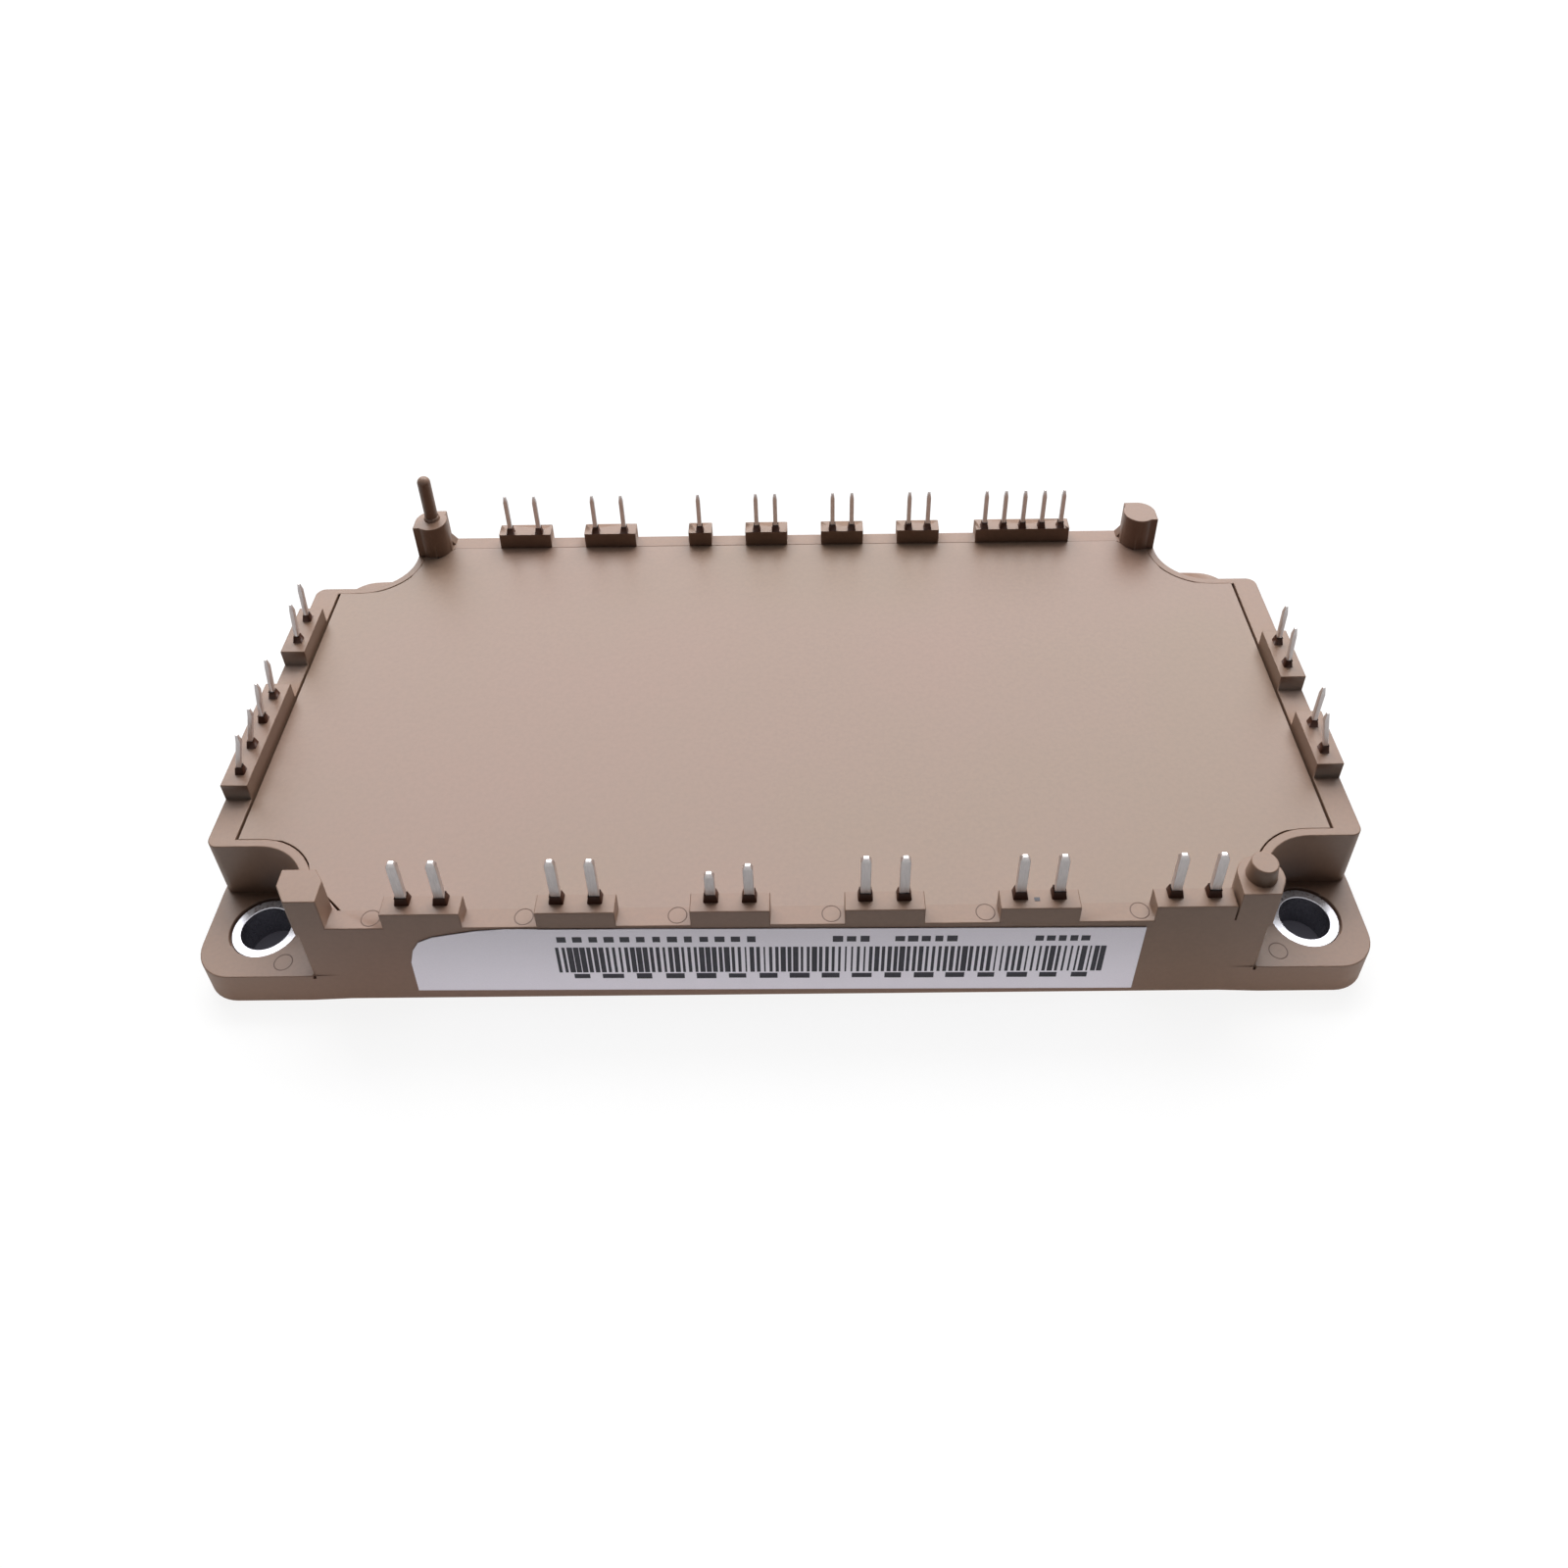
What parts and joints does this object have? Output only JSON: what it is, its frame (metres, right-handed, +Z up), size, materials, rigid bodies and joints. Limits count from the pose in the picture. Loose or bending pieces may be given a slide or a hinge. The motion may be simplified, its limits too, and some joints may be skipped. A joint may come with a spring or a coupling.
{
  "type": "igbt module",
  "caption": "Flat brown power semiconductor module with pin rows on all sides, corner mounting ears with metal bushings and a plain label.",
  "frame": {"origin": "middle of the mounting face under the base plate", "axes": "+X along the length, to the right seen from the label side; -Y towards the label; +Z up out of the mounting face, towards the pins"},
  "size_m": [0.122, 0.062, 0.0237],
  "materials": {
    "housing_plastic": "matt moulded, glass-filled",
    "cover_plastic": "matt moulded, glass-filled",
    "bushing_steel": "zinc-plated, bright",
    "tinned_pin": "tin-plated, satin",
    "base_plate_nickel": "nickel-plated copper, satin",
    "bare_copper": "bare copper foil",
    "substrate_ceramic": "unglazed alumina",
    "solder": "reflowed solder",
    "silicon_chip": "metallised silicon",
    "thermistor_body": "dark sintered",
    "bond_aluminium": "drawn wire",
    "silicone_gel": "clear soft gel",
    "seal_silicone": "cured silicone adhesive",
    "label_paper": "matt coated paper"
  },
  "bodies": {
    "root": {"base_plate": "base_plate_nickel", "housing_frame": "housing_plastic", "cover_plate": "cover_plastic", "mounting_bushings": "bushing_steel", "base_seal": "seal_silicone", "input_terminal_r": "tinned_pin", "input_terminal_s": "tinned_pin", "input_terminal_t": "tinned_pin", "output_terminal_u": "tinned_pin", "output_terminal_v": "tinned_pin", "output_terminal_w": "tinned_pin", "dc_positive_terminal": "tinned_pin", "dc_link_terminal": "tinned_pin", "brake_terminal": "tinned_pin", "dc_negative_terminal": "tinned_pin", "emitter_terminal": "tinned_pin", "gate_pins_u": "tinned_pin", "gate_pins_v": "tinned_pin", "gate_pins_w": "tinned_pin", "low_side_gate_pins": "tinned_pin", "sense_pins": "tinned_pin", "thermistor_pins": "tinned_pin", "substrate_solder": "solder", "copper_backings": "bare_copper", "rectifier_ceramic": "substrate_ceramic", "high_side_ceramic": "substrate_ceramic", "low_side_ceramic": "substrate_ceramic", "rectifier_tracks": "bare_copper", "high_side_tracks": "bare_copper", "low_side_tracks": "bare_copper", "chip_solder": "solder", "rectifier_diodes": "silicon_chip", "high_side_igbts": "silicon_chip", "low_side_igbts": "silicon_chip", "high_side_diodes": "silicon_chip", "low_side_diodes": "silicon_chip", "brake_igbt": "silicon_chip", "brake_diode": "silicon_chip", "thermistor": "thermistor_body", "chip_bond_wires": "bond_aluminium", "terminal_bond_wires": "bond_aluminium", "silicone_gel": "silicone_gel", "rating_label": "label_paper"}
  },
  "joints": []
}
